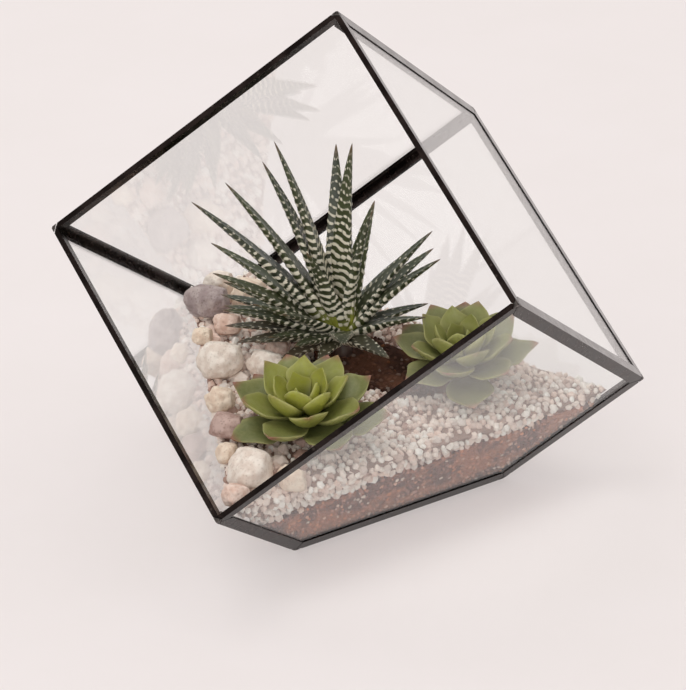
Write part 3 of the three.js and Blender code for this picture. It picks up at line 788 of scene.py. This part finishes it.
COBBLE = cobble_tree()
print("tree", COBBLE.name, "nodes", len(COBBLE.nodes))


# %% Stone finishes
def stone_finish(name, speck_share, *colours):
    material, tree, shader = new_material(name, Roughness=0.8, Specular_IOR_Level=0.35)
    base, patch, speck = (srgb(*colour) for colour in colours)
    patches = mottled(tree, 4.5, 0.16)
    specks = speckled(tree, 1.2, 0.36)
    paint(tree, shader, stain(tree, blend(tree, patches, base, patch), specks, speck_share, speck))
    bump(tree, shader, 1.1, 0.5, 0.8)
    return material


# For each slot: the finish's name, how far its specks show, and its base, patch and speck colours.
STONE_LOOKS = {
    "grey_stone": ("mauve_grey_stone", 0.4, (190, 174, 170), (158, 140, 138), (118, 104, 102)),
    "pink_stone": ("pink_stone", 0.3, (242, 218, 204), (222, 186, 168), (190, 154, 138)),
    "white_stone": ("white_stone", 0.3, (246, 234, 222), (226, 208, 194), (190, 172, 158)),
    "cream_stone": ("cream_stone", 0.3, (246, 228, 208), (226, 200, 178), (184, 156, 134)),
    "brown_stone": ("mauve_brown_stone", 0.35, (204, 176, 166), (172, 140, 130), (134, 106, 98)),
}
STONE_FINISHES = {slot: stone_finish(*look) for slot, look in STONE_LOOKS.items()}
print("stone finishes", len(STONE_FINISHES))


# %% Cobbles in their places
COBBLE_SWELL = 0.08
slot_of = {part["node"]: part["material_slot"] for part in frame["record"]["subparts"]}


def fit_to_box(piece, low, high):
    """Scales and moves a mesh so that its own box fills the given one, a little swollen."""
    swell = (high - low) * (COBBLE_SWELL / 2)
    low, high = low - swell, high + swell
    points = [v.co for v in piece.data.vertices]
    own_low = Vector([min(p[i] for p in points) for i in range(3)])
    own_high = Vector([max(p[i] for p in points) for i in range(3)])
    for vertex in piece.data.vertices:
        share = [(vertex.co[i] - own_low[i]) / (own_high[i] - own_low[i]) for i in range(3)]
        vertex.co = [low[i] + share[i] * (high[i] - low[i]) for i in range(3)]


def empty_piece(name):
    return add_object(name, bpy.data.meshes.new(name))


SEED_STEP = 3
cobbles = []
for count, node in enumerate(sorted(n for n in frame["nodes"] if n.startswith("stone_"))):
    cobble = empty_piece(node.replace("stone", "cobble"))
    finish = STONE_FINISHES[slot_of[node]]
    grow(COBBLE, cobble, Seed=float(SEED_STEP * count), Lumps=1.0, Flats=0.86, Material=finish)
    fit_to_box(cobble, *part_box(node))
    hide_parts(node)
    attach(cobble, "root")
    cobbles.append(cobble)
print("cobbles", len(cobbles), "triangles", sum(len(c.data.polygons) for c in cobbles))

# %% [markdown]
# ## Echeveria rosettes
# An echeveria grows by a plain rule: each new leaf is turned by the golden angle from the last, and leaves
# get longer and flatter with age. So one tree makes the whole rosette. A spoon-shaped leaf is rolled up from
# a grid, a curve gives its outline, and copies are turned and scaled by their age.

# %% The tree of a rosette
# The leaf's outline, as (place along it, width). Towards the tip the curve turns into straight lines.
SPOON = [(0.0, 0.34), (0.25, 0.56), (0.48, 0.88), (0.62, 0.97), (0.78, 0.74), (0.9, 0.38), (1.0, 0.0)]
STRAIGHT_FROM = 0.7
TOP_BULGE, BACK_BULGE, CUP, ARCH = 0.12, 0.85, 0.5, -0.2
GOLDEN_ANGLE = math.radians(137.5)


def named(tree, name):
    node = add_node(tree, "GeometryNodeInputNamedAttribute", {"data_type": "FLOAT"}, Name=name)
    return node.outputs["Attribute"]


def between(tree, share, first, second):
    """first at share 0, second at share 1."""
    return calc(tree, "MULTIPLY_ADD", share, calc(tree, "SUBTRACT", second, first), first)


def spoon_width(tree, along):
    curve = add_node(tree, "ShaderNodeFloatCurve", Value=along)
    points = curve.mapping.curves[0].points
    while len(points) < len(SPOON):
        points.new(0.5, 0.5)
    for point, (at, width) in zip(points, SPOON):
        point.location = (at, width)
        point.handle_type = "VECTOR" if at > STRAIGHT_FROM else "AUTO_CLAMPED"
    curve.mapping.update()
    return curve.outputs[0]


def spoon_leaf(tree, thickness):
    """A closed leaf along X, one unit long: a grid rolled into a flat tube, with both ends drawn together."""
    grid = add_node(tree, "GeometryNodeMeshGrid", Size_X=1.0, Size_Y=1.0, Vertices_X=26, Vertices_Y=21)
    place = add_node(tree, "ShaderNodeSeparateXYZ", Vector=position(tree))
    leaf = store(tree, grid.outputs["Mesh"], "along", calc(tree, "ADD", place.outputs["X"], 0.5))
    leaf = store(tree, leaf, "around", calc(tree, "ADD", place.outputs["Y"], 0.5))
    along = named(tree, "along")
    left = calc(tree, "SUBTRACT", 1.0, along)
    begun = calc(tree, "GREATER_THAN", along, 0.01)
    angle = times(tree, named(tree, "around"), 2 * math.pi)
    cosine, sine = calc(tree, "COSINE", angle), calc(tree, "SINE", angle)
    thick = times(tree, calc(tree, "POWER", calc(tree, "MAXIMUM", left, 0.0), 0.5), begun, thickness)
    top = times(tree, calc(tree, "MAXIMUM", sine, 0.0), TOP_BULGE)
    back = times(tree, calc(tree, "MINIMUM", sine, 0.0), BACK_BULGE)
    section = calc(tree, "ADD", calc(tree, "ADD", top, back), times(tree, cosine, cosine, CUP))
    height = calc(tree, "ADD", times(tree, section, thick), times(tree, along, left, ARCH))
    half_width = times(tree, spoon_width(tree, along), begun, cosine, 0.5)
    point = add_node(tree, "ShaderNodeCombineXYZ", X=along, Y=half_width, Z=height)
    leaf = store(tree, leaf, "rim", calc(tree, "POWER", calc(tree, "ABSOLUTE", cosine), 6.0))
    return add_node(tree, "GeometryNodeSetPosition", Geometry=leaf, Position=point.outputs[0]).outputs[0]


# A young leaf and an old one, in shares of their length.
YOUNG_LEAF, OLD_LEAF = {"width": 0.66, "thickness": 1.9}, {"width": 0.58, "thickness": 1.0}
SWAY = 4.0
SEWN_WITHIN = 0.00002
WARP = {"size": 15.0, "depth": 4.5}


def rosette_tree():
    tree, given, result = geometry_tree(
        "Rosette", Leaves=19, Radius=0.031, Turn=0.0, Highest=76.0, Lowest=8.0, Shortest=0.34,
        Lift=0.004, Thickness=0.12, Seed=1,
    )
    leaf = spoon_leaf(tree, given["Thickness"])
    spots = add_node(tree, "GeometryNodeMeshLine", Count=given["Leaves"], Offset=(0, 0, 0))
    index = tree.nodes.new("GeometryNodeInputIndex").outputs[0]
    age = calc(tree, "DIVIDE", index, calc(tree, "SUBTRACT", given["Leaves"], 1.0))
    young = calc(tree, "SUBTRACT", 1.0, age)
    raised = add_node(tree, "ShaderNodeCombineXYZ", Z=times(tree, given["Lift"], young))
    sway = random_value(tree, "FLOAT", -SWAY, SWAY, given["Seed"])
    rise = between(tree, calc(tree, "POWER", age, 0.8), given["Highest"], given["Lowest"])
    rise = calc(tree, "RADIANS", calc(tree, "ADD", rise, times(tree, sway, age)))
    azimuth = calc(tree, "MULTIPLY_ADD", index, GOLDEN_ANGLE, calc(tree, "RADIANS", given["Turn"]))
    turn = add_node(tree, "ShaderNodeCombineXYZ", Y=times(tree, rise, -1.0), Z=azimuth)
    length = between(tree, calc(tree, "POWER", age, 0.7), given["Shortest"], 1.0)
    length = times(tree, given["Radius"], length)
    size = add_node(tree, "ShaderNodeCombineXYZ", X=length)
    for axis, label in (("Y", "width"), ("Z", "thickness")):
        share = between(tree, age, YOUNG_LEAF[label], OLD_LEAF[label])
        wire(tree, times(tree, length, share), size.inputs[axis])
    placed = add_node(
        tree,
        "GeometryNodeInstanceOnPoints",
        Points=shift(tree, spots.outputs[0], raised.outputs[0]),
        Instance=leaf,
        Rotation=turn.outputs[0],
        Scale=size.outputs[0],
    )
    aged = store(tree, placed.outputs[0], "age", age, "INSTANCE")
    real = add_node(tree, "GeometryNodeRealizeInstances", Geometry=aged)
    sewn = add_node(tree, "GeometryNodeMergeByDistance", Geometry=real.outputs[0], Distance=SEWN_WITHIN)
    uneven = noise_push(tree, sewn.outputs[0], **WARP)
    smooth = add_node(tree, "GeometryNodeSetShadeSmooth", Geometry=uneven)
    finish_tree(tree, smooth.outputs[0], given["Material"], result)
    return tree


ROSETTE = rosette_tree()
print("tree", ROSETTE.name, "nodes", len(ROSETTE.nodes))

# %% Echeveria finish
def echeveria_finish(name, heart, outer, tip):
    """Yellow-green at the heart, duller with age, painted shade at each leaf's foot, and blushed at its tip.
    """
    material, tree, shader = new_material(
        name, Roughness=0.42, Specular_IOR_Level=0.45, Subsurface_Weight=0.12
    )
    shader.inputs["Subsurface Radius"].default_value = (0.004, 0.006, 0.002)
    along, age, rim = (attribute(tree, label) for label in ("along", "age", "rim"))
    patches = mottled(tree, 5.0, 0.25)
    streaks = mottled(tree, 1.8, 0.2)
    skin = blend(tree, step(tree, age, 0.15, 0.9), srgb(*heart), srgb(*outer))
    for mask, strength, colour in (
        (patches, 0.3, (136, 130, 84)),
        # The pale rim is partly the leaf's own pale edge and partly a painted highlight along it.
        (rim, 0.55, (190, 184, 126)),
        (streaks, 0.16, (176, 172, 122)),
        # Painted shade: each leaf is darkened towards its foot, where the leaves overlap.
        (step(tree, along, 0.7, 0.05), 0.88, (46, 52, 18)),
    ):
        skin = stain(tree, skin, mask, strength, srgb(*colour))
    blush = times(tree, step(tree, along, 0.86, 1.0), step(tree, age, 0.2, 0.7))
    paint(tree, shader, blend(tree, blush, skin, srgb(*tip)))
    vary_roughness(tree, shader, patches, 0.12, 0.38)
    bump(tree, shader, 1.4, 0.12, 0.35)
    return material


GREEN_ROSETTE = echeveria_finish("green_echeveria_leaf", (170, 172, 66), (104, 110, 62), (150, 100, 84))
PALE_ROSETTE = echeveria_finish("pale_echeveria_leaf", (158, 160, 88), (120, 122, 82), (168, 124, 108))
print("rosette finishes", GREEN_ROSETTE.name, PALE_ROSETTE.name)


# %% Both rosettes
STEM_SIDES = 20
STEM_FLARE = 1.25


def stem(body, root, above, foot, radius):
    """A short woody stem, a little wider at its foot, from the foot's level to a height above the root."""
    top = root.z + above
    cone = bmesh.ops.create_cone(
        body,
        cap_ends=True,
        segments=STEM_SIDES,
        radius1=radius * STEM_FLARE,
        radius2=radius,
        depth=top - foot,
    )
    bmesh.ops.translate(body, verts=cone["verts"], vec=(root.x, root.y, (top + foot) / 2))
    return cone["verts"]


# Both rosettes lean towards the light at the front. Roots and radii are in millimetres, turns in degrees.
LEAN_TOWARDS = math.radians(-70)
LEAN_AXIS = Vector((-math.sin(LEAN_TOWARDS), math.cos(LEAN_TOWARDS), 0))
LEAN = Quaternion(LEAN_AXIS, math.radians(12.0)).to_matrix()
ROSETTE_STEM = {"above": 2.0, "buried": 8.0, "radius": 3.0}
PLANTS = {
    "echeveria_front": {
        "root": (0.5, -46.0, 55.5), "radius": 37.0, "turn": 230.0, "seed": 4, "finish": GREEN_ROSETTE
    },
    "echeveria_right": {
        "root": (36.5, 27.5, 55.5), "radius": 34.5, "turn": 20.0, "seed": 9, "finish": PALE_ROSETTE
    },
}
for node, plant in PLANTS.items():
    rosette = empty_piece(node + "_rosette")
    grow(ROSETTE, rosette, Leaves=24, Radius=plant["radius"] * MM, Turn=plant["turn"], Lowest=2.0,
         Seed=plant["seed"], Material=plant["finish"])
    root = Vector(plant["root"])
    body = bmesh.new()
    body.from_mesh(rosette.data)
    bmesh.ops.scale(body, vec=(1 / MM, 1 / MM, 1 / MM), verts=body.verts)
    bmesh.ops.rotate(body, verts=body.verts, cent=(0, 0, 0), matrix=LEAN)
    bmesh.ops.translate(body, verts=body.verts, vec=root)
    bmesh.ops.recalc_face_normals(body, faces=body.faces)
    foot = bed_height(root.x, root.y) - ROSETTE_STEM["buried"]
    stem(body, root, ROSETTE_STEM["above"], foot, ROSETTE_STEM["radius"])
    bmesh.ops.scale(body, vec=(MM, MM, MM), verts=body.verts)
    body.to_mesh(rosette.data)
    body.free()
    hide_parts(node)
    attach(rosette, "root")
    print(rosette.name, "faces", len(rosette.data.polygons))

# %% [markdown]
# ## The haworthia
# Its leaves are thick, narrow and pointed, with white beads in rows across their backs. Every leaf leaves the
# stem its own way, so they are listed one by one: first those of the CAD model, then more low ones. Mesh
# code builds each as a tube of rings, which swells where a row of beads runs, and each point remembers how
# white it is. The beads are too regular for noise and too bent for an image, so a small formula places them.

# %% Haworthia leaves
HAWORTHIA_ROOT = Vector((-17.0, 20.0, 61.5))
HAWORTHIA_STEM = {"above": 0.0, "foot": 45.0, "radius": 4.0}
LEAF = {"width": 16.0, "depth": 6.0, "longest": 88.0, "bow": 0.06, "pitch": 3.4, "bead": 0.45}
SHORT_LEAF = 0.62
UPRIGHT = 68
LOW, LYING = 12, 2
RING = 20
STATION = 0.62
# Azimuth and rise in degrees, length in millimetres.
LEAVES = [
    (80, 80, 84), (112, 76, 82), (113, 70, 72), (-158, 75, 92), (-165, 69, 84), (-158, 57, 84),
    (-152, 47, 88), (-167, 35, 68), (20, 74, 60), (-161, 25, 55), (-100, 66, 50), (46, 36, 54),
    (36, 46, 60), (22, 38, 56), (90, 52, 60), (140, 44, 48), (-60, 18, 42), (75, 28, 46),
    (110, 24, 44), (165, 20, 46), (-150, 8, 50), (-118, 14, 38), (-80, 2, 32), (-30, 3, 38),
    (4, 18, 42), (40, 12, 40), (-140, 20, 54), (-172, 13, 56), (-128, 30, 46), (-104, 32, 42),
    (-138, 4, 46), (-150, 31, 62), (-162, 13, 52), (-124, 9, 42), (-96, 13, 36), (178, 5, 46),
    (-110, -2, 38),
]


def smooth_step(low, high, value):
    share = clamp((value - low) / (high - low))
    return share * share * (3 - 2 * share)


def leaf_curve(azimuth, rise, length):
    """The tip, the bend on the way to it and the upward side of a leaf, seen from its root."""
    a, r = math.radians(azimuth), math.radians(rise)
    chord = Vector((math.cos(a) * math.cos(r), math.sin(a) * math.cos(r), math.sin(r)))
    upward = Vector((-math.cos(a) * math.sin(r), -math.sin(a) * math.sin(r), math.cos(r)))
    return chord * length, chord * length / 2 + upward * length * LEAF["bow"], upward


def whiteness(t, angle, row, rise):
    """Rows of beads on the back of a leaf, and only dots and a pale edge on the face of a low one."""
    across, up = math.cos(angle), math.sin(angle)
    number = math.floor(row + 0.5)
    thin = 0.22 * smooth_step(0.2, 0.7, t)
    pulse = smooth_step(0.24 + thin, 0.66 + thin, 0.5 + 0.5 * math.cos(2 * math.pi * row))
    started = smooth_step(0.06, 0.2, t) * smooth_step(1.0, 0.93, t)
    beads = 0.66 + 0.34 * math.cos(9 * angle + 2.4 * number)
    beads *= 1 - 0.5 * smooth_step(0.35, 0.85, t)
    dots = smooth_step(0.2, 0.7, math.sin(5 * angle + 1.9 * number))
    on_back = up < 0.02
    return pulse * started * (beads if on_back or rise > UPRIGHT else 0.4 * dots + 0.6 * abs(across) ** 8)


def banded_leaf(body, layers, azimuth, rise, length, rng):
    tip, bend, upward = leaf_curve(azimuth, rise, length)
    scale = SHORT_LEAF + (1 - SHORT_LEAF) * length / LEAF["longest"]
    count = int(length / STATION)
    phase = rng.random()
    twist = rng.uniform(-0.15, 0.15)
    tint = rng.random()
    old = smooth_step(LOW, LYING, rise) * rng.uniform(0.1, 0.9)
    rings = []
    for s in range(count):
        t = s / count
        centre = HAWORTHIA_ROOT + bend * (2 * t * (1 - t)) + tip * (t * t)
        tangent = (bend * (2 - 4 * t) + tip * (2 * t)).normalized()
        side = tangent.cross(upward).normalized()
        side = (side + upward * twist * t).normalized()
        out = side.cross(tangent).normalized()
        half = LEAF["width"] * scale * math.sin(math.pi * min(0.5, 0.32 + t)) * (1 - t) ** 0.72 / 2
        depth = LEAF["depth"] * scale * (1 - t) ** 0.7
        rings.append([])
        for k in range(RING):
            angle = 2 * math.pi * k / RING
            across, up = math.cos(angle), math.sin(angle)
            row = t * length / LEAF["pitch"] + phase + 0.16 * across
            row += 0.2 * math.sin(3 * angle + 9 * phase + 0.9 * row)
            white = whiteness(t, angle, row, rise)
            swell = LEAF["bead"] * min(1.0, scale) * white * smooth_step(1.0, 0.7, t)
            height = depth * (0.1 + (0.95 if up < 0 else 0.12) * up) + 0.35 * depth * across * across * t
            vertex = body.verts.new(centre + side * across * (half + swell) + out * (height + swell * up))
            for label, value in (("band", white), ("along", t), ("leaf", tint), ("old", old)):
                vertex[layers[label]] = value
            rings[-1].append(vertex)
    for first, second in zip(rings, rings[1:]):
        for k in range(RING):
            body.faces.new([first[k], first[(k + 1) % RING], second[(k + 1) % RING], second[k]])
    for ring, centre, t in ((rings[0], HAWORTHIA_ROOT, 0.0), (rings[-1], HAWORTHIA_ROOT + tip, 1.0)):
        pole = body.verts.new(centre)
        pole[layers["along"]] = t
        pole[layers["leaf"]] = tint
        for k in range(RING):
            body.faces.new([ring[k], pole, ring[(k + 1) % RING]])


body = bmesh.new()
layers = {label: body.verts.layers.float.new(label) for label in ("band", "along", "leaf", "old")}
rng = random.Random(5)
for azimuth, rise, length in LEAVES:
    banded_leaf(body, layers, azimuth, rise, length, rng)
for vertex in stem(body, HAWORTHIA_ROOT, **HAWORTHIA_STEM):
    vertex[layers["along"]] = 0.5
    vertex[layers["old"]] = 1.0
bmesh.ops.recalc_face_normals(body, faces=body.faces)
haworthia = to_object(body, "haworthia_rosette", smooth=True)
print("haworthia faces", len(haworthia.data.polygons))

# %% Haworthia finish
material, tree, shader = new_material("banded_haworthia_leaf", Roughness=0.4, Specular_IOR_Level=0.45)
along, band, leaf_tint, old = (attribute(tree, label) for label in ("along", "band", "leaf", "old"))
patches = mottled(tree, 6.0, 0.25)
green = blend(tree, leaf_tint, srgb(36, 44, 30), srgb(60, 66, 38))
green = stain(tree, green, patches, 0.35, srgb(86, 90, 52))
green = stain(tree, green, old, 0.7, srgb(104, 78, 72))
green = blend(tree, step(tree, along, 0.26, 0.02), green, srgb(152, 154, 58))
green = stain(tree, green, step(tree, along, 0.9, 1.0), 0.8, srgb(112, 84, 62))
paint(tree, shader, blend(tree, step(tree, band, 0.18, 0.5), green, srgb(224, 216, 196)))
vary_roughness(tree, shader, band, 0.3, 0.36)
bump(tree, shader, 0.8, 0.1, 0.4)
print("haworthia finish", material.name)
haworthia.data.materials.append(material)
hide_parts("haworthia")
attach(haworthia, "root")

# %% [markdown]
# ## Floor and light
# A plain pale floor and wide, soft light, as in a small studio. The world gives an even fill, one large lamp
# from the upper left draws the faint shadow to the right, and a low one fills the front. The floor glows a
# little, like paper on a light table, so the shadow under the tilted cube stays as faint as on the picture.

# %% Floor
FLOOR_REACH = 4000.0
floor_body = bmesh.new()
bmesh.ops.create_grid(floor_body, x_segments=1, y_segments=1, size=FLOOR_REACH)
floor = to_object(floor_body, "studio_floor")
material, tree, shader = new_material(
    "pale_paper", Roughness=0.9, Specular_IOR_Level=0.1, Emission_Strength=0.47
)
shader.inputs["Emission Color"].default_value = srgb(240, 231, 229)
patches = mottled(tree, 90.0, 0.35)
paint(tree, shader, blend(tree, patches, srgb(182, 176, 175), srgb(179, 173, 171)))
floor.data.materials.append(material)
print("floor reaches", FLOOR_REACH * MM, "m each way")


# %% Lamps
LAMP_COLOUR = (1.0, 0.99, 0.98)
ROOM_COLOUR = (1.0, 0.995, 0.99, 1)
ROOM_STRENGTH = 0.77


def area_lamp(name, place, aim, size, power):
    """A round lamp. Places and sizes are in metres, its power is in watts."""
    data = bpy.data.lights.new(name, "AREA")
    data.shape = "DISK"
    data.size = size
    data.energy = power
    data.color = LAMP_COLOUR
    lamp = add_object(name, data)
    lamp.location = place
    lamp.rotation_mode = "QUATERNION"
    lamp.rotation_quaternion = (Vector(aim) - Vector(place)).to_track_quat("-Z", "Y")
    print(name, power, "W")


area_lamp("key_lamp", (-0.5, 0.2, 2.0), (0.1, 0, 0.08), size=1.3, power=10.0)
area_lamp("front_fill", (0.5, -1.7, 0.45), (0, 0, 0.06), size=1.2, power=7.0)
world = bpy.data.worlds.new("soft_room")
world.use_nodes = True
background = world.node_tree.nodes["Background"]
background.inputs["Color"].default_value = ROOM_COLOUR
background.inputs["Strength"].default_value = ROOM_STRENGTH
bpy.context.scene.world = world
bpy.context.scene.view_settings.view_transform = "Standard"
